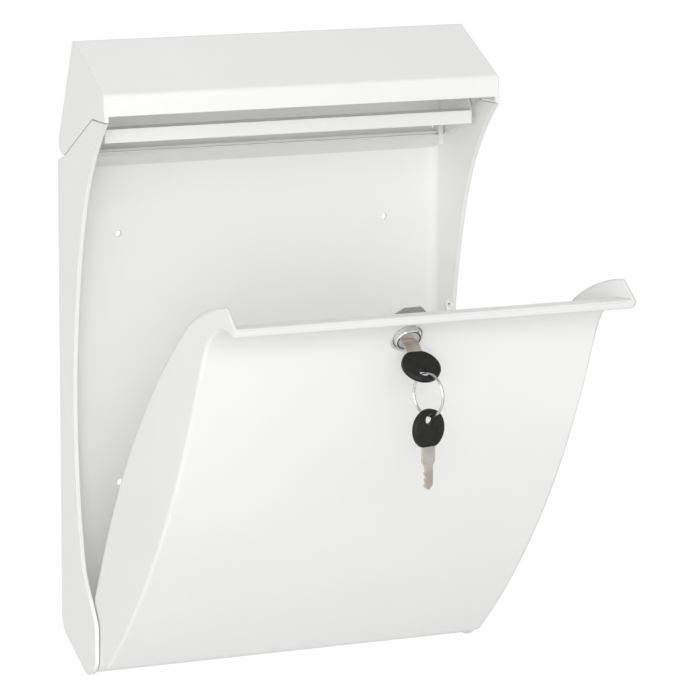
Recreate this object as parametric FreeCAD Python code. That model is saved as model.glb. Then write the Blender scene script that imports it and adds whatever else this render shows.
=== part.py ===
import FreeCAD, Part
import math
import os

# Wall mailbox with a lifting hood, a drop-down front door, a cam lock and two keys on a ring.
# Lengths are in millimetres, angles in degrees. X is the width, the wall is the plane y = 0,
# the front faces -Y and Z is up. The origin is the middle of the four wall holes.

# Housing
width = 282.0              # over the side walls at the front
draft = 1.3                # lean of the outer sides, narrower at the wall
wall_t = 3.0               # side walls
panel_t = 3.0              # back panel and floor
depth = 91.0               # wall to the front of the hood
hole_dx = 97.5             # wall holes, half the spacing across
hole_dz = 84.5             # wall holes, half the spacing up
hole_r = 2.25
back_top = 136.0           # top of the back panel and the rear corner of the walls
waist_y = 26.7             # depth of the side walls at the waist
waist_z = -25.0
waist_r = 420.0            # long concave arc of the front edge
upper_r = 160.0            # tighter arc below the hood
upper_z = 100.0            # height where the two arcs meet
foot_y = 65.0              # depth of the rounded foot
foot_r = 15.5              # its lower front corner
foot_z = -186.5            # centre height of that corner
foot_shoulder_r = 12.0
foot_rise = 5.0            # the foot's upper corner lies this far above the hinge
foot_fall = 25.0           # slope of the underside
heel_r = 14.0              # rear lower corner
cove_r = 6.0               # inner corner between the back panel and a side wall
foot_slope = 52.0          # lean of the run from the waist arc down to the foot
foot_blend_r = 45.0
back_rise = 4.0            # the back panel starts this far above the lower rear corner
weld = 0.5                 # overlap of pieces that are joined
over = 1.0                 # a cutter runs past a face by this much

# Door hinge and door
hinge_y = -40.0
hinge_z = -175.0
door_open = 37.5           # rest pose: open by this angle
door_t = 3.0
side_gap = 0.7             # between a side wall and a door cheek
belly_y = 93.0             # depth of the panel's belly when shut
belly_z = -45.0
belly_r = 600.0
scoop_r = 38.0             # hollow under the lip
scoop_z = 120.0            # height where belly and hollow meet
scoop_end = 70.0           # turn of the hollow up to the lip
scoop_hide = 52.0          # turn of the hollow's inner face up to the lip
lip_h = 6.0                # height of the lip's front face
lip_land = 2.0             # width of the lip's top
door_edge = 1.8            # bevel between panel and cheeks
cheek_lap = 13.4           # how far the cheeks lie behind the walls' upper edge
cheek_top_r = 6.0
cheek_y = 19.0             # rear edge of the cheeks where it comes closest to the wall
cheek_z = -16.0
cheek_open = 60.0          # the cheeks' rear arc is this much flatter than the walls' waist
cheek_low = 60.0           # height over the hinge where that arc ends
neck_y = 3.5               # neck above the hinge disc, behind the hinge
neck_z = 25.0
neck_turn = 75.0           # where the disc runs into the neck
toe_corner_z = -166.0      # lower end of the belly when shut
toe_r = 10.0               # rounding of that corner
roll_r = 28.0              # outer radius of the door's lower edge about the hinge
roll_end = 37.0            # it ends this far before straight down
boss_r = 18.6              # cheek's disc about the hinge
stub_r = 4.0
stub_in = 1.9              # how far the stubs reach into the walls
stub_end_gap = 0.3
pin_gap = 0.06             # running clearance of stub pivots
floor_r = 23.0             # underside of the floor about the hinge
floor_front = 38.0         # the floor ends this far before straight down
floor_side_gap = 0.8       # between the floor's front lip and a cheek
stop_toe_r = 28.0          # reach of the stop toe on each cheek
stop_toe_w = 8.0
stop_toe_at = 86.5         # toe's angle behind straight down when shut
stop_gap = 0.25
stop_block = 8.0

# Hood
hood_pivot_y = -10.0
hood_pivot_z = 148.5
hood_round = 8.0           # rounded rear edge about the pivot
hood_lean = 23.0           # lean of the rear face, also how far the hood lifts
hood_top_z = 219.6
hood_front_z = 188.3       # top of the front face
hood_lip_z = 174.7         # bottom of the front face
hood_side_z = 171.0        # bottom of the side faces at the front
hood_seam = 29.0           # slope of the seam on the sides
hood_t = 2.0
hood_brow = 2.0            # the front face leans back by this much
lip_in = 3.0               # the front lip's ends stop this far inside the sides
hood_ridge_r = 4.0
seam_gap = 0.8
tongue_gap = 0.5           # between an inset tongue and the hood's side
tongue_t = 2.0
tongue_h = 8.0             # height of the tongue above the seam
tongue_rear = -25.0        # it runs from here
tongue_front = -56.0       # to here
tongue_root = 5.0
ear_t = 3.6                # hood's pivot ears
ear_rim = 2.0
ear_back = 0.5
slot_low = 25.0            # the curled rear edge runs over these turns below level
slot_mid = 72.0
ledge_t = 2.5              # sloped top edge of the back panel
hood_pin_r = 3.0

# Strike bar
bar_y = 67.5               # depth of its front face
bar_z = 154.5              # its lower edge
bar_h = 9.0
bar_d = 13.5
bar_t = 2.5
bar_end_gap = 1.5          # between its ends and the shut cheeks
bar_tab = 5.5              # height of the end tabs
bar_tab_in = 1.6           # how far they plug into the walls
bar_tab_gap = 0.1

# Lock
lock_z = 128.0             # height of its axis when shut
seat_y = 68.4              # depth of the flat seat
seat_r = 11.2
seat_in_y = 62.9           # depth of the inner seat
bezel_r = 9.9              # flange on the seat
bezel_flange = 1.0
bezel_t = 3.8              # flange and nose together
nose_base_r = 9.3
nose_r = 8.6
nose_bevel = 0.6
barrel_r = 8.6
barrel_flat = 7.6
barrel_end_y = 54.0
hole_gap = 0.15
plug_head_r = 7.0
plug_r = 6.0
plug_head_len = 4.0
plug_sunk = 0.8
plug_proud = 0.2           # the core stands this far out of the barrel behind
plug_gap = 0.05
tail_w = 6.0               # square tail under the cam
tail_len = 2.6
cam_t = 2.5
cam_w = 7.0
cam_drop = 2.0             # the arm lies this far below the axis
cam_hub_r = 6.5
cam_len = 38.0
finger_w = 5.0             # finger bent inwards at the end of the arm
finger_len = 8.8
finger_rise = 29.0
finger_hole_r = 0.9
cam_play = 0.1             # between the barrel's end and the cam, beyond the core
cam_fit = 0.05
washer_r = 5.5
washer_t = 1.0
washer_gap = 0.3
screw_head_r = 4.2
screw_head_h = 2.4
screw_bevel = 0.8
screw_r = 2.0
screw_in = 2.0
recess_half = 2.4          # cross recess
recess_w = 1.0
recess_floor = 1.2
clip_t = 1.5
clip_half = 12.5
clip_top = 20.6
clip_flat = 5.8
clip_legs = 11.0
clip_groove = 0.8
clip_fit = 0.1

# Keys and ring
key_t = 2.0
neck_w = 10.0
neck_len = 12.0
neck_taper = 2.0
blade_w = 6.5
blade_len = 15.5
key_gap = 0.2
key_end_gap = 0.6
cuts = [1.1, 0.2, 1.5, 0.6, 1.2, 0.3]
cut_first = 3.6
cut_pitch = 1.9
cut_flat = 0.5
tip_half = 0.6
tip_slope = 3.0
mill_w = 1.2               # groove along the blade
mill_d = 0.5
bow_r = 12.6
bow_chord = 11.0           # middle of the disc to its flat foot
bow_t = 4.0
bow_end = 6.4              # hole centre to the far end
bow_hole_w = 8.0
bow_hole_h = 6.2
bow_edge = 0.8
tang_w = 7.0
tang_len = 8.0
ring_r = 13.4
wire_r = 0.9
wire_sides = 6
ring_turn = 17.0           # the ring's plane turned from the YZ plane
ring_lean = 17.0           # the ring's middle swung forward under the hole
wire_seat = 1.8            # the wire lies this far above the middle of the hanging bow's hole

X_AXIS = FreeCAD.Vector(1, 0, 0)
Y_AXIS = FreeCAD.Vector(0, 1, 0)
Z_AXIS = FreeCAD.Vector(0, 0, 1)
half = width / 2.0
big = 600.0
hinge = (hinge_y, hinge_z)
hood_pivot = (hood_pivot_y, hood_pivot_z)
cheek_inset = wall_t + side_gap
cheek_inner = cheek_inset + door_t


def rad(a):
    return math.radians(a)


def polar(c, r, a):
    return (c[0] + r * math.cos(rad(a)), c[1] + r * math.sin(rad(a)))


def vec(p):
    return FreeCAD.Vector(0, p[0], p[1])


def line(a, b):
    return Part.makeLine(vec(a), vec(b))


def arc(c, r, a0, a1):
    mid = polar(c, r, 0.5 * (a0 + a1))
    return Part.Arc(vec(polar(c, r, a0)), vec(mid), vec(polar(c, r, a1))).toShape()


def angle(c, p):
    return math.degrees(math.atan2(p[1] - c[1], p[0] - c[0]))


def meet(c0, r0, c1, r1, high):
    # meeting point of two circles, the upper one if high is set
    dy = c1[0] - c0[0]
    dz = c1[1] - c0[1]
    d = math.hypot(dy, dz)
    a = (r0 * r0 - r1 * r1 + d * d) / (2.0 * d)
    h = math.sqrt(max(r0 * r0 - a * a, 0.0))
    base = (c0[0] + a * dy / d, c0[1] + a * dz / d)
    one = (base[0] - h * dz / d, base[1] + h * dy / d)
    two = (base[0] + h * dz / d, base[1] - h * dy / d)
    pair = sorted([one, two], key=lambda p: p[1])
    return pair[1] if high else pair[0]


def prism(edges, x0, x1):
    face = Part.Face(Part.Wire(Part.__sortEdges__(edges)))
    solid = face.extrude(FreeCAD.Vector(x1 - x0, 0, 0))
    solid.translate(FreeCAD.Vector(x0, 0, 0))
    return solid


def polygon(points, x0, x1):
    return prism([line(points[i - 1], points[i]) for i in range(len(points))], x0, x1)


def box(x0, x1, y0, y1, z0, z1):
    return Part.makeBox(x1 - x0, y1 - y0, z1 - z0, FreeCAD.Vector(x0, y0, z0))


def rod_x(p, r, x0, x1):
    return Part.makeCylinder(r, x1 - x0, FreeCAD.Vector(x0, p[0], p[1]), X_AXIS)


def rod_y(x, z, r, y0, y1):
    return Part.makeCylinder(r, y1 - y0, FreeCAD.Vector(x, y0, z), Y_AXIS)


def mirrored(shape):
    return shape.mirror(FreeCAD.Vector(0, 0, 0), X_AXIS)


def both(shape):
    return [shape, mirrored(shape)]


def side_cutter(inset):
    # everything outside the leaning right-hand side, moved in by inset
    block = box(0, big, -big, big, -big, big)
    block.rotate(FreeCAD.Vector(0, 0, 0), Z_AXIS, draft)
    block.translate(FreeCAD.Vector(half - inset, -depth, 0))
    return block


def side_x(y, inset):
    # half width over the leaning sides at depth y, moved in by inset
    return half - inset - (depth + y) * math.tan(rad(draft))


def trim_sides(shape, inset):
    return shape.cut(side_cutter(inset)).cut(mirrored(side_cutter(inset)))


def opened(shape):
    # from the shut pose of the door to the rest pose
    shape.rotate(vec(hinge), X_AXIS, door_open)
    return shape


def clean(shape):
    return shape.removeSplitter()


# Front edge of the side walls: two arcs, a sloped run and the rounded foot
waist_c = (-waist_y - waist_r, waist_z)
join_a = math.degrees(math.asin((upper_z - waist_z) / waist_r))
upper_c = polar(polar(waist_c, waist_r, join_a), -upper_r, join_a)
seam_n = (-math.sin(rad(hood_seam)), -math.cos(rad(hood_seam)))


def seam_points(gap):
    # rear and front bends of the seam, moved down by gap
    r = hood_round + gap
    a = (hood_pivot_y + r * seam_n[0], hood_pivot_z + r * seam_n[1])
    z = hood_side_z - gap
    run = (z - a[1]) / math.sin(rad(hood_seam))
    return a, (a[0] - run * math.cos(rad(hood_seam)), z)


seam_rear, seam_front = seam_points(seam_gap)
wall_top_a = math.degrees(math.asin((seam_front[1] - upper_c[1]) / upper_r))
wall_top = polar(upper_c, upper_r, wall_top_a)

foot_c = (-foot_y + foot_r, foot_z)
shoulder_c = (-foot_y + foot_shoulder_r, hinge_z + foot_rise)
slope_dir = (math.cos(rad(foot_slope)), math.sin(rad(foot_slope)))
slope_out = (-slope_dir[1], slope_dir[0])
slope_a = (shoulder_c[0] + foot_shoulder_r * slope_out[0], shoulder_c[1] + foot_shoulder_r * slope_out[1])
# concave blend that touches the sloped run and the waist arc from the front
line_p = (slope_a[0] + foot_blend_r * slope_out[0], slope_a[1] + foot_blend_r * slope_out[1])
reach = waist_r - foot_blend_r
rel = (line_p[0] - waist_c[0], line_p[1] - waist_c[1])
dot = rel[0] * slope_dir[0] + rel[1] * slope_dir[1]
rest = rel[0] * rel[0] + rel[1] * rel[1] - reach * reach
step = -dot + math.sqrt(dot * dot - rest)
blend_c = (line_p[0] + step * slope_dir[0], line_p[1] + step * slope_dir[1])
slope_b = (slope_a[0] + step * slope_dir[0], slope_a[1] + step * slope_dir[1])
blend_end_a = angle(waist_c, blend_c)
blend_start_a = angle(blend_c, slope_b)

fall_n = (math.sin(rad(foot_fall)), -math.cos(rad(foot_fall)))
fall_a = (foot_c[0] + foot_r * fall_n[0], foot_c[1] + foot_r * fall_n[1])
heel_z = fall_a[1] - fall_a[0] * math.tan(rad(foot_fall))
heel_cut = heel_r * math.tan(rad(0.5 * (90.0 - foot_fall)))
heel_top = (0.0, heel_z + heel_cut)
heel_c = (-heel_r, heel_top[1])


def wall_edges():
    edges = [line((0.0, back_top), seam_rear)]
    edges.append(line(seam_rear, seam_front))
    edges.append(line(seam_front, wall_top))
    edges.append(arc(upper_c, upper_r, wall_top_a, join_a))
    edges.append(arc(waist_c, waist_r, join_a, blend_end_a))
    edges.append(arc(blend_c, foot_blend_r, blend_end_a, blend_start_a))
    edges.append(line(slope_b, slope_a))
    edges.append(arc(shoulder_c, foot_shoulder_r, angle((0, 0), slope_out), 180.0))
    edges.append(line((-foot_y, shoulder_c[1]), (-foot_y, foot_c[1])))
    edges.append(arc(foot_c, foot_r, 180.0, 360.0 + angle((0, 0), fall_n)))
    heel_low = (heel_c[0] + heel_r * fall_n[0], heel_c[1] + heel_r * fall_n[1])
    edges.append(line(fall_a, heel_low))
    edges.append(arc(heel_c, heel_r, angle((0, 0), fall_n), 0.0))
    edges.append(line(heel_top, (0.0, back_top)))
    return edges


# Rear housing
fall_foot_a = -90.0 + foot_fall
floor_end_a = -90.0 - floor_front
floor_in_r = floor_r - panel_t


def floor_plate():
    # slopes forward and down from the back panel
    low = polar(hinge, floor_r, fall_foot_a)
    high = polar(hinge, floor_in_r, fall_foot_a)
    low_back = (0.0, low[1] - low[0] * math.tan(rad(foot_fall)))
    high_back = (0.0, high[1] - high[0] * math.tan(rad(foot_fall)))
    return polygon([low_back, low, high, high_back], -half, half)


def floor_lip():
    # runs on round the door hinge, inside the door's lower edge and between its cheeks
    edges = [arc(hinge, floor_r, fall_foot_a, floor_end_a)]
    edges.append(line(polar(hinge, floor_r, floor_end_a), polar(hinge, floor_in_r, floor_end_a)))
    edges.append(arc(hinge, floor_in_r, floor_end_a, fall_foot_a))
    edges.append(line(polar(hinge, floor_in_r, fall_foot_a), polar(hinge, floor_r, fall_foot_a)))
    x = side_x(hinge_y + boss_r, cheek_inner) - floor_side_gap
    return prism(edges, -x, x)


rear_half = side_x(0.0, 0.0)
hinge_x = side_x(hinge_y, wall_t)
bar_half = side_x(bar_d - bar_y, cheek_inner) - bar_end_gap
hood_in = rear_half - hood_t - tongue_gap
curl_half = hood_in - ear_t - tongue_gap


def ledge():
    # the back panel's top edge slopes forward under the hood's curled rear edge
    d = math.hypot(seam_rear[0], seam_rear[1] - back_top)
    n = ((back_top - seam_rear[1]) / d * ledge_t, seam_rear[0] / d * ledge_t)
    low = (seam_rear[0] + n[0], seam_rear[1] + n[1])
    foot = (-panel_t, back_top - ledge_t - panel_t)
    return polygon([(0.0, back_top), seam_rear, low, foot, (0.0, foot[1])], -half, half)


def on_seam(y, lift):
    # point of the seam at depth y, moved up square to it
    k = (y - seam_rear[0]) / (seam_front[0] - seam_rear[0])
    z = seam_rear[1] + k * (seam_front[1] - seam_rear[1])
    return (y - lift * seam_n[0], z - lift * seam_n[1])


def tongue():
    # thin upper edge of a side wall that stands inside the hood
    points = [on_seam(tongue_rear, -tongue_root), on_seam(tongue_front, -tongue_root)]
    points += [on_seam(tongue_front, tongue_h), on_seam(tongue_rear, tongue_h)]
    inset = hood_t + tongue_gap
    blade = polygon(points, 0.5 * half, half)
    return blade.common(side_cutter(inset + tongue_t)).cut(side_cutter(inset))


def ear():
    # carries the hood's stub pivot
    x0 = hood_in - ear_t
    disc = rod_x(hood_pivot, hood_pin_r + ear_rim, x0, hood_in)
    y0 = hood_pivot_y - hood_pin_r - ear_rim
    y1 = hood_pivot_y + hood_pin_r + ear_rim - ear_back
    web = box(x0, hood_in, y0, y1, back_top - ledge_t, hood_pivot_z)
    bore = rod_x(hood_pivot, hood_pin_r + pin_gap, x0 - over, hood_in + over)
    return disc.fuse(web).cut(bore)


def stop():
    # block on a side wall that the cheek's toe meets when the door is open
    z0 = 0.5 * stop_toe_w + stop_gap
    x0 = side_x(hinge_y + stop_toe_r, cheek_inner)
    block = box(x0, half, boss_r + stop_gap, stop_toe_r, z0, z0 + stop_block)
    block.rotate(FreeCAD.Vector(0, 0, 0), X_AXIS, -90.0 + stop_toe_at + door_open)
    block.translate(vec(hinge))
    return block.cut(side_cutter(0.5 * wall_t))


def cove():
    # moulded radius up the corner between the back panel and a side wall
    x = side_x(-panel_t - 0.5 * cove_r, wall_t)
    z0 = hinge_z
    z1 = back_top - ledge_t
    strip = box(x - cove_r, x + weld, -panel_t - cove_r, -panel_t + weld, z0, z1)
    mid = FreeCAD.Vector(x - cove_r, -panel_t - cove_r, z0)
    return strip.cut(Part.makeCylinder(cove_r, z1 - z0, mid, Z_AXIS))


def make_housing():
    wall = prism(wall_edges(), 0.5 * half, half).common(side_cutter(wall_t))
    back = box(-half, half, -panel_t, 0.0, heel_z + back_rise, back_top)
    plates = trim_sides(back.fuse([floor_plate(), ledge()]), 0.5 * wall_t)
    body = trim_sides(plates.fuse(both(wall) + [floor_lip()]), 0.0)
    body = body.fuse(both(tongue()) + both(ear()) + both(stop()) + both(cove()))
    holes = []
    for sx in (-1, 1):
        for sz in (-1, 1):
            holes.append(rod_y(sx * hole_dx, sz * hole_dz, hole_r, -panel_t - over, over))
    holes += both(rod_x(hinge, stub_r + pin_gap, hinge_x - over, hinge_x + stub_in + stub_end_gap))
    holes += both(bar_tab_box(bar_tab_gap, bar_half))
    return clean(body.cut(holes))


# Strike bar
def bar_tab_box(gap, x0):
    y1 = -bar_y + bar_d
    x1 = side_x(y1, wall_t) + bar_tab_in + gap
    return box(x0, x1, y1 - bar_t - gap, y1 + gap, bar_z - gap, bar_z + bar_tab + gap)


def make_bar():
    y0 = -bar_y
    y1 = -bar_y + bar_d
    z1 = bar_z + bar_h
    front = box(-bar_half, bar_half, y0, y0 + bar_t, bar_z, z1)
    shelf = box(-bar_half, bar_half, y0, y1, z1 - bar_t, z1)
    rear = box(-bar_half, bar_half, y1 - bar_t, y1, bar_z, z1)
    tabs = both(bar_tab_box(0.0, bar_half - over))
    return clean(front.fuse([shelf, rear] + tabs))


# Hood
def hood_edges():
    # rear, top and front corners of the hood's side outline
    rear = polar(hood_pivot, hood_round, hood_lean)
    rise = (hood_top_z - rear[1]) / math.cos(rad(hood_lean))
    ridge = (rear[0] - rise * math.sin(rad(hood_lean)), hood_top_z)
    brow = (-depth + hood_brow, hood_front_z)
    return rear, ridge, brow


def moved_in(a, b, t):
    # the line through a and b, moved by t to its right-hand side
    d = math.hypot(b[0] - a[0], b[1] - a[1])
    n = ((b[1] - a[1]) / d * t, -(b[0] - a[0]) / d * t)
    return (a[0] + n[0], a[1] + n[1]), (b[0] + n[0], b[1] + n[1])


def cross(p, q, r, s):
    # meeting point of line p-q with line r-s
    d1 = (q[0] - p[0], q[1] - p[1])
    d2 = (s[0] - r[0], s[1] - r[1])
    k = ((r[0] - p[0]) * d2[1] - (r[1] - p[1]) * d2[0]) / (d1[0] * d2[1] - d1[1] * d2[0])
    return (p[0] + k * d1[0], p[1] + k * d1[1])


def make_hood():
    rear, ridge, brow = hood_edges()
    low_a, low_b = seam_points(0.0)
    lip = (-depth, hood_side_z)
    outer = [line(low_a, low_b), line(low_b, lip), line(lip, brow), line(brow, ridge), line(ridge, rear)]
    outer.append(arc(hood_pivot, hood_round, hood_lean, -90.0 - hood_seam))
    shell = prism(outer, -half, half)
    shell = trim_sides(shell, 0.0)
    soft = []
    for e in shell.Edges:
        c = e.CenterOfMass
        along = abs(e.BoundBox.XLength) > width * 0.9
        if along and c.z > hood_front_z - over:
            soft.append(e)
    shell = shell.makeFillet(hood_ridge_r, soft)
    t = hood_t
    r0, r1 = moved_in(rear, ridge, -t)
    t0, t1 = moved_in(ridge, brow, -t)
    f0, f1 = moved_in(brow, lip, -t)
    a = cross(r0, r1, t0, t1)
    b = cross(t0, t1, f0, f1)
    foot = (f1[0], back_top - hood_round)
    inner = [line(r0, a), line(a, b), line(b, foot), line(foot, (r0[0], foot[1])), line((r0[0], foot[1]), r0)]
    cavity = trim_sides(prism(inner, -half, half), t)
    hood = shell.cut(cavity)
    # the front face stops short of the side faces
    hood = hood.cut(box(-half + lip_in, half - lip_in, -depth - over, -depth + 2.0 * hood_brow + t, hood_side_z - over, hood_lip_z))
    # room for the housing's ears behind the pivots
    notch = box(curl_half, hood_in + 0.5 * tongue_gap, -depth, hood_round, back_top, hood_pivot_z + weld)
    hood = hood.cut(both(notch))
    # the rear edge curls forward under the pivot, between the housing's ears
    tube_in = hood_round - t
    curl = rod_x(hood_pivot, hood_round, -curl_half, curl_half).cut(rod_x(hood_pivot, tube_in, -half, half))
    span = [hood_lean, -slot_low, -slot_mid, -90.0 - hood_seam]
    wedge = polygon([hood_pivot] + [polar(hood_pivot, 4.0 * hood_round, a) for a in span], -half, half)
    pins = both(rod_x(hood_pivot, hood_pin_r, hood_in - ear_t, rear_half - 0.5 * t))
    return clean(hood.fuse([curl.common(wedge)] + pins))


# Front door, built shut
belly_c = (-belly_y + belly_r, belly_z)
scoop_join_a = 180.0 - math.degrees(math.asin((scoop_z - belly_z) / belly_r))
scoop_join = polar(belly_c, belly_r, scoop_join_a)
scoop_c = polar(scoop_join, scoop_r, scoop_join_a)
scoop_a = scoop_join_a - 180.0
lip_low = polar(scoop_c, scoop_r, scoop_end)
lip_top = (lip_low[0], lip_low[1] + lip_h)
toe_a = 180.0 + math.degrees(math.asin((belly_z - toe_corner_z) / belly_r))
toe = polar(belly_c, belly_r, toe_a)


def roll_tangent(r, p):
    # where the lower straight from p touches the circle of radius r about the hinge
    d = math.hypot(p[0] - hinge[0], p[1] - hinge[1])
    a = angle(hinge, p) % 360.0
    return a + math.degrees(math.acos(r / d))


def door_outer():
    edges = [line(lip_top, lip_low)]
    edges.append(arc(scoop_c, scoop_r, scoop_end, scoop_a))
    edges.append(arc(belly_c, belly_r, scoop_join_a, toe_a))
    ta = roll_tangent(roll_r, toe)
    edges.append(line(toe, polar(hinge, roll_r, ta)))
    edges.append(arc(hinge, roll_r, ta, 270.0 - roll_end))
    return edges


lap_upper = upper_r + cheek_lap
lap_top_a = math.degrees(math.asin((lip_top[1] - upper_c[1]) / lap_upper))
lap_top = polar(upper_c, lap_upper, lap_top_a)
cheek_r = waist_r + cheek_open
cheek_c = (-cheek_y - cheek_r, cheek_z)
lap_join = meet(upper_c, lap_upper, cheek_c, cheek_r, True)
cheek_low_a = math.degrees(math.asin((hinge_z + cheek_low - cheek_z) / cheek_r))
cheek_low_p = polar(cheek_c, cheek_r, cheek_low_a)
neck_p = (hinge_y + neck_y, hinge_z + neck_z)


def make_door():
    roll_stop = polar(hinge, roll_r, 270.0 - roll_end)
    roll_in = polar(hinge, boss_r, 270.0 - roll_end)
    edges = door_outer()
    edges.append(line(roll_stop, roll_in))
    edges.append(arc(hinge, boss_r, 270.0 - roll_end, 360.0 + neck_turn))
    edges.append(line(polar(hinge, boss_r, neck_turn), neck_p))
    edges.append(line(neck_p, cheek_low_p))
    edges.append(arc(cheek_c, cheek_r, cheek_low_a, angle(cheek_c, lap_join)))
    edges.append(arc(upper_c, lap_upper, angle(upper_c, lap_join), lap_top_a))
    edges.append(line(lap_top, lip_top))
    block = prism(edges, -half, half)
    block = block.makeFillet(toe_r, [e for e in block.Edges if at_point(e, toe)])
    block = trim_sides(block, cheek_inset)
    block = block.makeChamfer(door_edge, [e for e in block.Edges if on_front(e)])
    cavity = prism(door_inner(), -half, half)
    cavity = cavity.makeFillet(toe_r - door_t, [e for e in cavity.Edges if at_point(e, toe_in)])
    door = block.cut(trim_sides(cavity, cheek_inner))
    door = door.makeFillet(cheek_top_r, [e for e in door.Edges if at_point(e, lap_top)])
    toes = []
    for sx in (-1, 1):
        x0 = side_x(hinge_y + stop_toe_r, cheek_inner)
        lug = box(x0, half, 0.0, stop_toe_r, -0.5 * stop_toe_w, 0.5 * stop_toe_w)
        lug.rotate(FreeCAD.Vector(0, 0, 0), X_AXIS, -90.0 + stop_toe_at)
        lug.translate(vec(hinge))
        lug = lug.cut(side_cutter(cheek_inset))
        toes.append(lug if sx > 0 else mirrored(lug))
    stubs = both(rod_x(hinge, stub_r, hinge_x - side_gap - 0.5 * door_t, hinge_x + stub_in))
    seat = rod_y(0.0, lock_z, seat_r, -seat_y, -seat_in_y)
    door = door.fuse(toes + stubs + [seat])
    face_off = rod_y(0.0, lock_z, seat_r, -belly_y, -seat_y)
    bore = rod_y(0.0, lock_z, barrel_r + hole_gap, -seat_y - over, -seat_in_y + over)
    keep = barrel_flat + hole_gap
    bore = bore.common(box(-keep, keep, -big, big, -big, big))
    door = door.cut([face_off, bore])
    return opened(clean(door))


def at_point(e, p):
    # edges across the width that pass through p
    c = e.CenterOfMass
    return e.BoundBox.XLength > over and math.hypot(c.y - p[0], c.z - p[1]) < 0.01


def on_front(e):
    # edges of the door's block that lie on its sides along the panel's outline
    c = e.valueAt(0.5 * (e.FirstParameter + e.LastParameter))
    if abs(abs(c.x) - side_x(c.y, cheek_inset)) > 0.01:
        return False
    p = (c.y, c.z)
    if abs(math.dist(p, belly_c) - belly_r) < 0.01 or abs(math.dist(p, scoop_c) - scoop_r) < 0.01:
        return True
    return p[0] < hinge_y and p[1] < hinge_z + toe_r and math.dist(p, hinge) > roll_r - 0.01


toe_in = polar(belly_c, belly_r - door_t, toe_a)


def door_inner():
    t = door_t
    ta = roll_tangent(roll_r, toe)
    flat_in = polar(hinge, roll_r - t, ta)
    end_in = polar(hinge, roll_r - t, 270.0 - roll_end)
    end_out = polar(hinge, roll_r + door_t, 270.0 - roll_end)
    land = (lip_top[0] + lip_land, lip_top[1])
    land_up = (land[0], land[1] + lip_h)
    inner_r = scoop_r + t
    scoop_hi = polar(scoop_c, inner_r, scoop_hide)
    back = depth
    far_top = (back, land_up[1])
    far_low = (back, end_out[1])
    edges = [line(land_up, land), line(land, scoop_hi)]
    edges.append(arc(scoop_c, inner_r, scoop_hide, scoop_a))
    edges.append(arc(belly_c, belly_r - t, scoop_join_a, toe_a))
    edges.append(line(toe_in, flat_in))
    edges.append(arc(hinge, roll_r - t, ta, 270.0 - roll_end))
    edges.append(line(end_in, end_out))
    edges.append(line(end_out, far_low))
    edges.append(line(far_low, far_top))
    edges.append(line(far_top, land_up))
    return edges


# Lock, built shut about its axis
def make_lock_body():
    flange = rod_y(0.0, lock_z, bezel_r, -seat_y - bezel_flange, -seat_y)
    nose_len = bezel_t - bezel_flange - nose_bevel
    at = FreeCAD.Vector(0, -seat_y - bezel_flange, lock_z)
    nose = Part.makeCone(nose_base_r, nose_r, nose_len, at, -Y_AXIS)
    at = at - Y_AXIS * nose_len
    bevel = Part.makeCone(nose_r, nose_r - nose_bevel, nose_bevel, at, -Y_AXIS)
    barrel = rod_y(0.0, lock_z, barrel_r, -seat_y, -barrel_end_y)
    barrel = barrel.common(box(-barrel_flat, barrel_flat, -big, big, -big, big))
    y0 = -seat_in_y
    x0 = barrel_flat - clip_groove
    groove = box(x0, barrel_r + over, y0, y0 + clip_t + clip_fit, lock_z - barrel_r, lock_z + barrel_r)
    barrel = barrel.cut(both(groove))
    body = flange.fuse([nose, bevel, barrel])
    head = rod_y(0.0, lock_z, plug_head_r + plug_gap, -seat_y - bezel_t - over, plug_shoulder_y() + plug_gap)
    bore = rod_y(0.0, lock_z, plug_r + plug_gap, -seat_y - bezel_t - over, -barrel_end_y + over)
    return opened(clean(body.cut([head, bore])))


def plug_face_y():
    return -seat_y - bezel_t + plug_sunk


def plug_shoulder_y():
    return plug_face_y() + plug_head_len


def make_plug():
    head = rod_y(0.0, lock_z, plug_head_r, plug_face_y(), plug_shoulder_y())
    y1 = -barrel_end_y + plug_proud
    core = rod_y(0.0, lock_z, plug_r, plug_face_y(), y1)
    w = 0.5 * tail_w
    tail = box(-w, w, y1 - over, y1 + tail_len, lock_z - w, lock_z + w)
    plug = head.fuse([core, tail])
    kw = 0.5 * blade_w + key_gap
    kt = 0.5 * key_t + key_gap
    way = box(-kw, kw, plug_face_y() - over, plug_face_y() + blade_len + key_end_gap, lock_z - kt, lock_z + kt)
    y2 = y1 + tail_len
    tap = rod_y(0.0, lock_z, screw_r, y2 - screw_in - plug_proud, y2 + over)
    return opened(clean(plug.cut([way, tap])))


def cam_y():
    return -barrel_end_y + plug_proud + cam_play


def make_cam():
    # flat arm that points to the right at rest and up when locked
    y0 = cam_y()
    top = lock_z + 0.5 * cam_w - cam_drop
    hub = rod_y(0.0, lock_z, cam_hub_r, y0, y0 + cam_t)
    arm = box(0.0, cam_len, y0, y0 + cam_t, top - cam_w, top)
    # the finger starts at the arm's upper edge
    r = 0.5 * finger_w
    x = cam_len - r
    finger = box(x - r, x + r, 0.0, finger_len - r, -cam_t, 0.0)
    low = FreeCAD.Vector(x, finger_len - r, -cam_t)
    tip = Part.makeCylinder(r, cam_t, low, Z_AXIS)
    eye = Part.makeCylinder(finger_hole_r, cam_t, low, Z_AXIS)
    finger = finger.fuse(tip).cut(eye)
    finger.rotate(FreeCAD.Vector(0, 0, 0), X_AXIS, finger_rise)
    finger.translate(FreeCAD.Vector(0, y0, top))
    tw = 0.5 * tail_w + cam_fit
    square = box(-tw, tw, y0 - over, y0 + cam_t + over, lock_z - tw, lock_z + tw)
    return opened(clean(hub.fuse([arm, finger]).cut(square)))


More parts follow.
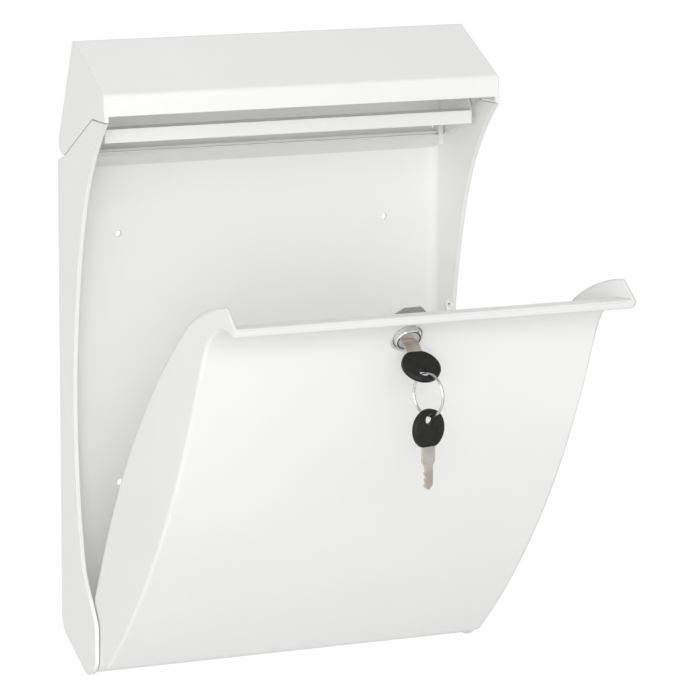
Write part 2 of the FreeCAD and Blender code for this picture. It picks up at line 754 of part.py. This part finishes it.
def make_washer():
    y0 = cam_y() + cam_t
    washer = rod_y(0.0, lock_z, washer_r, y0, y0 + washer_t)
    return opened(washer.cut(rod_y(0.0, lock_z, screw_r + washer_gap, y0 - over, y0 + washer_t + over)))


def make_screw():
    y0 = cam_y() + cam_t + washer_t
    y3 = y0 + screw_head_h
    head = rod_y(0.0, lock_z, screw_head_r, y0, y3)
    rim = [e for e in head.Edges if abs(e.CenterOfMass.y - y3) < 0.01 and e.Closed]
    head = head.makeChamfer(screw_bevel, rim)
    y1 = -barrel_end_y + plug_proud + tail_len - screw_in
    shank = rod_y(0.0, lock_z, screw_r, y1, y0)
    a = recess_half
    b = 0.5 * recess_w
    wide = box(-a, a, y0 + recess_floor, y3 + over, lock_z - b, lock_z + b)
    tall = box(-b, b, y0 + recess_floor, y3 + over, lock_z - a, lock_z + a)
    return opened(clean(head.fuse(shank).cut([wide, tall])))


def make_clip():
    # flat spring clip pushed down over the barrel's grooves behind the panel
    y0 = -seat_in_y
    z = lock_z
    pts = [(-clip_half, z - clip_legs), (-clip_half, z + clip_top - (clip_half - clip_flat))]
    pts += [(-clip_flat, z + clip_top), (clip_flat, z + clip_top)]
    pts += [(clip_half, z + clip_top - (clip_half - clip_flat)), (clip_half, z - clip_legs)]
    loop = [FreeCAD.Vector(p[0], y0, p[1]) for p in pts]
    plate = Part.Face(Part.makePolygon(loop + [loop[0]])).extrude(FreeCAD.Vector(0, clip_t, 0))
    s = barrel_flat - clip_groove + clip_fit
    reach_up = barrel_r + clip_fit
    slot = box(-s, s, y0 - over, y0 + clip_t + over, z - clip_legs - over, z)
    crown = rod_y(0.0, z, reach_up, y0 - over, y0 + clip_t + over)
    crown = crown.common(box(-s, s, -big, big, z - over, big))
    return opened(clean(plate.cut([slot, crown])))


# Keys: the middle of the bow's hole is the origin, the blade points down, the flat faces Y
hole_to_foot = bow_r + bow_chord - bow_end


def key_blade():
    shoulder = -hole_to_foot
    z1 = shoulder - neck_len
    z2 = z1 - blade_len
    h = 0.5 * blade_w
    n = 0.5 * neck_w
    t = 0.5 * tang_w
    pts = [(-n, shoulder), (-n, z1 + neck_taper), (-h, z1)]
    for i, deep in enumerate(cuts):
        z = z1 - cut_first - i * cut_pitch
        pts += [(deep - h, z + cut_flat), (deep - h, z - cut_flat)]
    pts += [(-tip_half, z2), (tip_half, z2), (h, z2 + tip_slope), (h, z1), (n, z1 + neck_taper), (n, shoulder)]
    pts += [(t, shoulder), (t, shoulder + tang_len), (-t, shoulder + tang_len), (-t, shoulder)]
    loop = [FreeCAD.Vector(p[0], -0.5 * key_t, p[1]) for p in pts]
    blade = Part.Face(Part.makePolygon(loop + [loop[0]])).extrude(FreeCAD.Vector(0, key_t, 0))
    m = 0.5 * mill_w
    mill = box(-m, m, 0.5 * key_t - mill_d, key_t, z2 - over, z1 - mill_d)
    return clean(blade.cut(mill))


def key_bow():
    # a disc with a flat foot and an oblong hole, moulded round the blade's tang
    mid = bow_end - bow_r
    low = -hole_to_foot
    disc = rod_y(0.0, mid, bow_r, -0.5 * bow_t, 0.5 * bow_t)
    disc = disc.makeChamfer(bow_edge, [e for e in disc.Edges if e.Closed])
    disc = disc.common(box(-bow_r, bow_r, -bow_t, bow_t, low, bow_end))
    r = 0.5 * bow_hole_h
    x = 0.5 * bow_hole_w - r
    hole = box(-x, x, -bow_t, bow_t, -r, r)
    hole = hole.fuse([rod_y(-x, 0.0, r, -bow_t, bow_t), rod_y(x, 0.0, r, -bow_t, bow_t)])
    slot = box(-0.5 * tang_w, 0.5 * tang_w, -0.5 * key_t, 0.5 * key_t, low - over, low + tang_len)
    return clean(disc.cut([hole, slot]))


key_hole_y = plug_face_y() - neck_len - hole_to_foot


def key_in_lock(shape):
    shape.rotate(FreeCAD.Vector(0, 0, 0), X_AXIS, 90.0)
    shape.translate(FreeCAD.Vector(0, key_hole_y, lock_z))
    return opened(shape)


def rest_point(y, z):
    # a point of the shut door in the rest pose
    c = math.cos(rad(door_open))
    s = math.sin(rad(door_open))
    dy = y - hinge_y
    dz = z - hinge_z
    return FreeCAD.Vector(0, hinge_y + c * dy - s * dz, hinge_z + s * dy + c * dz)


first_hole = rest_point(key_hole_y, lock_z)
ring_along = FreeCAD.Vector(math.sin(rad(ring_turn)), -math.cos(rad(ring_turn)), 0)
ring_normal = FreeCAD.Vector(math.cos(rad(ring_turn)), math.sin(rad(ring_turn)), 0)
ring_hang = ring_along * math.sin(rad(ring_lean)) - Z_AXIS * math.cos(rad(ring_lean))
ring_mid = first_hole + ring_hang * ring_r
second_wire = ring_mid - Z_AXIS * ring_r
second_hole = second_wire - Z_AXIS * wire_seat


def make_ring():
    # a wire with flat-sided section, turned about the ring's axis
    loop = []
    for i in range(wire_sides + 1):
        a = rad((i + 0.5) * 360.0 / wire_sides)
        loop.append(ring_mid + ring_hang * (ring_r + wire_r * math.cos(a)) + ring_normal * (wire_r * math.sin(a)))
    return Part.Face(Part.makePolygon(loop)).revolve(ring_mid, ring_normal, 360.0)


def key_hanging(shape):
    shape.rotate(FreeCAD.Vector(0, 0, 0), Z_AXIS, ring_turn)
    shape.translate(second_hole)
    return shape


def main():
    parts = {
        "rear_housing": make_housing(),
        "strike_bar": make_bar(),
        "hood": make_hood(),
        "front_door": make_door(),
        "lock_body": make_lock_body(),
        "lock_clip": make_clip(),
        "lock_plug": make_plug(),
        "lock_cam": make_cam(),
        "cam_washer": make_washer(),
        "cam_screw": make_screw(),
        "key_1_blade": key_in_lock(key_blade()),
        "key_1_bow": key_in_lock(key_bow()),
        "key_ring": make_ring(),
        "key_2_blade": key_hanging(key_blade()),
        "key_2_bow": key_hanging(key_bow()),
    }
    os.makedirs("parts", exist_ok=True)
    for name, shape in parts.items():
        solids = shape.Solids
        b = shape.BoundBox
        print(name, len(solids), shape.isValid(), round(shape.Volume), [round(v, 1) for v in
              (b.XMin, b.XMax, b.YMin, b.YMax, b.ZMin, b.ZMax)])
        shape.exportStep("parts/" + name + ".step")


main()
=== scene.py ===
import bpy
import math
from mathutils import Matrix, Vector

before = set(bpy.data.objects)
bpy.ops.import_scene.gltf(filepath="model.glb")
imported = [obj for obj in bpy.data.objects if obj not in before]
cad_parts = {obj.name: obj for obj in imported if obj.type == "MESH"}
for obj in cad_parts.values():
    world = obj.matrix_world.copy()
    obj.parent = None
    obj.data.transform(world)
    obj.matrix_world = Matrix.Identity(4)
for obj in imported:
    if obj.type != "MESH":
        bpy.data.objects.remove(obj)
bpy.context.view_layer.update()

# The wall mailbox at the photograph's angle, with a procedural material on every node.
# Lengths are in metres, angles in degrees and lamps in watts.

# Camera fitted to the photograph
LENS_MM = 222.30
SENSOR_MM = 36.0
CAM_DIST = 2.8819
CAM_YAW = 24.484
CAM_PITCH = 10.236
CAM_ROLL = 0.159
CAM_TARGET = Vector((0.04460, -0.060, 0.006387))

# Studio
WORLD_LIGHT = 0.57
FLOOR_Z = -0.60            # the mailbox hangs on a wall, so the floor lies well below it
FLOOR_SIZE = 40.0
FLOOR_TONE = 0.82
FLOOR_ROUGHNESS = 0.9
GLOW_NEAR = 0.36           # lift of the seen floor under the part, low enough to keep its shadow
GLOW_FAR = 0.53            # lift further out, where the floor turns white
GLOW_FROM = 0.7            # distances from the origin between which the lift rises
GLOW_TO = 1.6
LAMP_AIM = Vector((0.0, -0.1, 0.0))
LAMP_SIZE = 1.6
LAMPS = {                  # name: place, power
    "camera_softbox": ((-1.15, -2.6, 0.5), 26.5),
    "left_softbox": ((-2.4, -1.6, 0.4), 12.0),
    "high_softbox": ((-0.2, -2.7, 1.5), 10.0),
}
FLAG_TONE = 0.03
FLAG_AIM = Vector((0.0, -0.25, 0.046))   # the face of the lock
FLAGS = {                  # name: place, size
    "low_flag": ((0.10, -0.33, -0.30), (0.26, 0.10)),
    "side_flag": ((0.42, -0.42, -0.05), (0.10, 0.30)),
}

# A texture's values are spread between these levels of its noise, unless it gives its own
NOISE_LOW = 0.3
NOISE_HIGH = 0.7
BEVEL_SAMPLES = 6

# Radius at which the look of sharp edges is rounded, less than the walls' thickness
SHELL_EDGE = 0.0009
DOOR_EDGE = 0.0026
BOW_EDGE = 0.0006


class Shader:
    """A node material with a Principled shader and small helpers to feed it."""

    def __init__(self, name):
        self.mat = bpy.data.materials.new(name)
        self.mat.use_nodes = True
        self.tree = self.mat.node_tree
        self.bsdf = self.tree.nodes["Principled BSDF"]
        self.coords = self.add("ShaderNodeTexCoord")

    def add(self, kind, **values):
        node = self.tree.nodes.new(kind)
        for key, value in values.items():
            setattr(node, key, value)
        return node

    def link(self, a, b):
        self.tree.links.new(a, b)

    def noise(self, scale, detail=4.0, rough=0.55, stretch=None):
        """Noise in the part's own coordinates, scaled further along each axis by stretch."""
        tex = self.add("ShaderNodeTexNoise")
        tex.inputs["Scale"].default_value = scale
        tex.inputs["Detail"].default_value = detail
        tex.inputs["Roughness"].default_value = rough
        source = self.coords.outputs["Object"]
        if stretch:
            place = self.add("ShaderNodeMapping")
            place.inputs["Scale"].default_value = stretch
            self.link(source, place.inputs["Vector"])
            source = place.outputs["Vector"]
        self.link(source, tex.inputs["Vector"])
        return tex.outputs["Fac"]

    def ramp(self, fac, low, high, start=NOISE_LOW, end=NOISE_HIGH):
        """A colour that runs from low to high with the noise."""
        node = self.add("ShaderNodeValToRGB")
        node.color_ramp.elements[0].position = start
        node.color_ramp.elements[1].position = end
        node.color_ramp.elements[0].color = (*low, 1.0)
        node.color_ramp.elements[1].color = (*high, 1.0)
        self.link(fac, node.inputs["Fac"])
        return node.outputs["Color"]

    def span(self, fac, low, high):
        """A number that runs from low to high with the noise."""
        node = self.add("ShaderNodeMapRange")
        node.inputs["From Min"].default_value = NOISE_LOW
        node.inputs["From Max"].default_value = NOISE_HIGH
        node.inputs["To Min"].default_value = low
        node.inputs["To Max"].default_value = high
        self.link(fac, node.inputs["Value"])
        return node.outputs["Result"]

    def bump(self, height, depth, strength, edge=0.0):
        """Raises the surface by a texture and, with an edge radius, rounds the look of sharp edges."""
        node = self.add("ShaderNodeBump")
        node.inputs["Distance"].default_value = depth
        node.inputs["Strength"].default_value = strength
        self.link(height, node.inputs["Height"])
        if edge > 0.0:
            soft = self.add("ShaderNodeBevel", samples=BEVEL_SAMPLES)
            soft.inputs["Radius"].default_value = edge
            self.link(soft.outputs["Normal"], node.inputs["Normal"])
        self.link(node.outputs["Normal"], self.bsdf.inputs["Normal"])

    def colour(self, out):
        self.link(out, self.bsdf.inputs["Base Color"])

    def roughness(self, out):
        self.link(out, self.bsdf.inputs["Roughness"])

    def set(self, **values):
        for key, value in values.items():
            self.bsdf.inputs[key.replace("_", " ")].default_value = value


def white_plastic(name, edge):
    """Satin injection-moulded plastic: faint flow variation and a fine spark-eroded grain."""
    s = Shader(name)
    s.colour(s.ramp(s.noise(9.0, 3.0), (0.880, 0.878, 0.862), (0.905, 0.903, 0.888)))
    s.roughness(s.span(s.noise(60.0, 5.0), 0.40, 0.50))
    s.bump(s.noise(2600.0, 2.0), 0.00003, 0.35, edge=edge)
    s.set(IOR=1.49)
    return s.mat


def shell_plastic():
    """For the thin walls of housing, hood and strike bar."""
    return white_plastic("white_satin_plastic", SHELL_EDGE)


def door_plastic():
    """For the door, with its softer edges."""
    return white_plastic("white_satin_door_plastic", DOOR_EDGE)


def chrome():
    """Bright plating with a soft polish variation."""
    s = Shader("bright_chrome")
    s.colour(s.ramp(s.noise(180.0), (0.58, 0.58, 0.59), (0.72, 0.72, 0.73)))
    s.roughness(s.span(s.noise(420.0, 6.0), 0.10, 0.20))
    s.set(Metallic=1.0)
    return s.mat


def satin_chrome():
    """Plated plug face, rubbed dull by keys."""
    s = Shader("satin_chrome")
    s.colour(s.ramp(s.noise(240.0, 5.0), (0.66, 0.66, 0.67), (0.80, 0.80, 0.81)))
    s.roughness(s.span(s.noise(800.0, 5.0), 0.34, 0.48))
    s.bump(s.noise(2000.0, 4.0), 0.00002, 0.4)
    s.set(Metallic=1.0)
    return s.mat


def zinc_steel():
    """Zinc-plated sheet steel with a mottled, slightly dull surface."""
    s = Shader("zinc_plated_steel")
    s.colour(s.ramp(s.noise(320.0, 6.0), (0.60, 0.615, 0.61), (0.73, 0.745, 0.735)))
    s.roughness(s.span(s.noise(700.0, 5.0), 0.30, 0.44))
    s.bump(s.noise(1500.0, 4.0), 0.00002, 0.4)
    s.set(Metallic=1.0)
    return s.mat


def key_steel():
    """Nickel-plated key blank, milled along its length, with brass showing through in places."""
    s = Shader("nickel_key_steel")
    brass, nickel = (0.51, 0.435, 0.36), (0.57, 0.555, 0.52)
    s.colour(s.ramp(s.noise(70.0, 5.0, 0.6), brass, nickel, start=0.40, end=0.60))
    s.roughness(s.span(s.noise(900.0, 4.0, stretch=(6.0, 6.0, 0.6)), 0.22, 0.38))
    s.bump(s.noise(2400.0, 2.0, stretch=(4.0, 4.0, 0.4)), 0.00002, 0.4)
    s.set(Metallic=1.0)
    return s.mat


def ring_steel():
    """Plated round wire with light rub marks."""
    s = Shader("plated_ring_wire")
    s.colour(s.ramp(s.noise(700.0, 5.0), (0.42, 0.42, 0.43), (0.58, 0.58, 0.59)))
    s.roughness(s.span(s.noise(1200.0, 4.0), 0.14, 0.30))
    s.set(Metallic=1.0)
    return s.mat


def black_plastic():
    """Hard black moulding with a fine matt grain."""
    s = Shader("black_key_plastic")
    s.colour(s.ramp(s.noise(260.0, 4.0), (0.009, 0.010, 0.009), (0.018, 0.019, 0.017)))
    s.roughness(s.span(s.noise(900.0, 5.0), 0.34, 0.50))
    s.bump(s.noise(3000.0, 3.0), 0.00003, 0.5, edge=BOW_EDGE)
    s.set(Specular_IOR_Level=0.2)
    return s.mat


FINISH = {
    "rear_housing": shell_plastic,
    "front_door": door_plastic,
    "lock_body": chrome,
    "lock_plug": satin_chrome,
    "lock_clip": zinc_steel,
    "key_1_blade": key_steel,
    "key_ring": ring_steel,
    "key_1_bow": black_plastic,
}
SAME_AS = {
    "strike_bar": "rear_housing",
    "hood": "rear_housing",
    "lock_cam": "lock_clip",
    "cam_washer": "lock_clip",
    "cam_screw": "lock_clip",
    "key_2_blade": "key_1_blade",
    "key_2_bow": "key_1_bow",
}


def dress_nodes():
    """Gives every carried-over node its material."""
    made = {name: make() for name, make in FINISH.items()}
    for name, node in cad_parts.items():
        node.data.materials.clear()
        node.data.materials.append(made[SAME_AS.get(name, name)])


def look_from_photo():
    """The camera at the photograph's angle and framing."""
    yaw = math.radians(CAM_YAW)
    pitch = math.radians(CAM_PITCH)
    roll = math.radians(CAM_ROLL)
    level = Vector((math.sin(yaw), math.cos(yaw), 0.0))
    ahead = math.cos(pitch) * level - math.sin(pitch) * Vector((0.0, 0.0, 1.0))
    right = Vector((math.cos(yaw), -math.sin(yaw), 0.0))
    up = right.cross(ahead)
    right = math.cos(roll) * right + math.sin(roll) * up
    up = right.cross(ahead)
    data = bpy.data.cameras.new("photo_camera")
    data.lens = LENS_MM
    data.sensor_width = SENSOR_MM
    camera = bpy.data.objects.new("photo_camera", data)
    turn = Matrix((right, up, -ahead)).transposed()
    camera.matrix_world = Matrix.Translation(CAM_TARGET - CAM_DIST * ahead) @ turn.to_4x4()
    bpy.context.scene.collection.objects.link(camera)
    bpy.context.scene.camera = camera


def soft_light(name, place, watts):
    """A round softbox turned to the part."""
    data = bpy.data.lights.new(name, "AREA")
    data.shape = "DISK"
    data.size = LAMP_SIZE
    data.energy = watts
    lamp = bpy.data.objects.new(name, data)
    lamp.location = place
    lamp.rotation_euler = (LAMP_AIM - Vector(place)).to_track_quat("-Z", "Y").to_euler()
    bpy.context.scene.collection.objects.link(lamp)


def dark_flag(name, place, size):
    """A dark card beside the lock that only shows in the plated metal, as in a product studio."""
    bpy.ops.mesh.primitive_plane_add(size=1.0, location=place)
    flag = bpy.context.object
    flag.name = name
    flag.scale = (size[0], size[1], 1.0)
    flag.rotation_euler = (FLAG_AIM - Vector(place)).to_track_quat("Z", "Y").to_euler()
    mat = bpy.data.materials.new(name)
    mat.use_nodes = True
    bsdf = mat.node_tree.nodes["Principled BSDF"]
    bsdf.inputs["Base Color"].default_value = (FLAG_TONE, FLAG_TONE, FLAG_TONE, 1.0)
    flag.data.materials.append(mat)
    flag.visible_camera = False
    flag.visible_diffuse = False
    flag.visible_shadow = False


def white_when_seen(tree, plain, white):
    """Mixes a plain shader with white, which only camera, mirror and glass rays meet."""
    path = tree.nodes.new("ShaderNodeLightPath")
    first = tree.nodes.new("ShaderNodeMath")
    first.operation = "MAXIMUM"
    tree.links.new(path.outputs["Is Camera Ray"], first.inputs[0])
    tree.links.new(path.outputs["Is Transmission Ray"], first.inputs[1])
    both = tree.nodes.new("ShaderNodeMath")
    both.operation = "MAXIMUM"
    tree.links.new(first.outputs[0], both.inputs[0])
    tree.links.new(path.outputs["Is Glossy Ray"], both.inputs[1])
    mix = tree.nodes.new("ShaderNodeMixShader")
    tree.links.new(both.outputs[0], mix.inputs["Fac"])
    tree.links.new(plain, mix.inputs[1])
    tree.links.new(white, mix.inputs[2])
    return mix.outputs[0]


def white_world():
    """Even light from all around, white where it is seen."""
    world = bpy.data.worlds.new("white_studio")
    bpy.context.scene.world = world
    world.use_nodes = True
    tree = world.node_tree
    plain = tree.nodes["Background"]
    plain.inputs["Color"].default_value = (1.0, 1.0, 1.0, 1.0)
    plain.inputs["Strength"].default_value = WORLD_LIGHT
    white = tree.nodes.new("ShaderNodeBackground")
    white.inputs["Color"].default_value = (1.0, 1.0, 1.0, 1.0)
    out = white_when_seen(tree, plain.outputs[0], white.outputs[0])
    tree.links.new(out, tree.nodes["World Output"].inputs["Surface"])


def pale_floor():
    """A plain floor, lifted to white where it is seen away from the part."""
    bpy.ops.mesh.primitive_plane_add(size=FLOOR_SIZE, location=(0.0, 0.0, FLOOR_Z))
    floor = bpy.context.object
    floor.name = "floor"
    mat = bpy.data.materials.new("pale_floor")
    mat.use_nodes = True
    tree = mat.node_tree
    bsdf = tree.nodes["Principled BSDF"]
    bsdf.inputs["Base Color"].default_value = (FLOOR_TONE, FLOOR_TONE, FLOOR_TONE, 1.0)
    bsdf.inputs["Roughness"].default_value = FLOOR_ROUGHNESS
    place = tree.nodes.new("ShaderNodeNewGeometry")
    reach = tree.nodes.new("ShaderNodeVectorMath")
    reach.operation = "LENGTH"
    tree.links.new(place.outputs["Position"], reach.inputs[0])
    rise = tree.nodes.new("ShaderNodeMapRange")
    rise.inputs["From Min"].default_value = GLOW_FROM
    rise.inputs["From Max"].default_value = GLOW_TO
    rise.inputs["To Min"].default_value = GLOW_NEAR
    rise.inputs["To Max"].default_value = GLOW_FAR
    tree.links.new(reach.outputs["Value"], rise.inputs["Value"])
    glow = tree.nodes.new("ShaderNodeEmission")
    tree.links.new(rise.outputs["Result"], glow.inputs["Strength"])
    lifted = tree.nodes.new("ShaderNodeAddShader")
    tree.links.new(bsdf.outputs[0], lifted.inputs[0])
    tree.links.new(glow.outputs[0], lifted.inputs[1])
    out = white_when_seen(tree, bsdf.outputs[0], lifted.outputs[0])
    tree.links.new(out, tree.nodes["Material Output"].inputs["Surface"])
    floor.data.materials.append(mat)


def studio():
    """White surroundings, a pale floor and soft light from the front."""
    white_world()
    pale_floor()
    for name, (place, watts) in LAMPS.items():
        soft_light(name, place, watts)
    for name, (place, size) in FLAGS.items():
        dark_flag(name, place, size)


dress_nodes()
look_from_photo()
studio()
bpy.context.scene.view_settings.view_transform = "Standard"
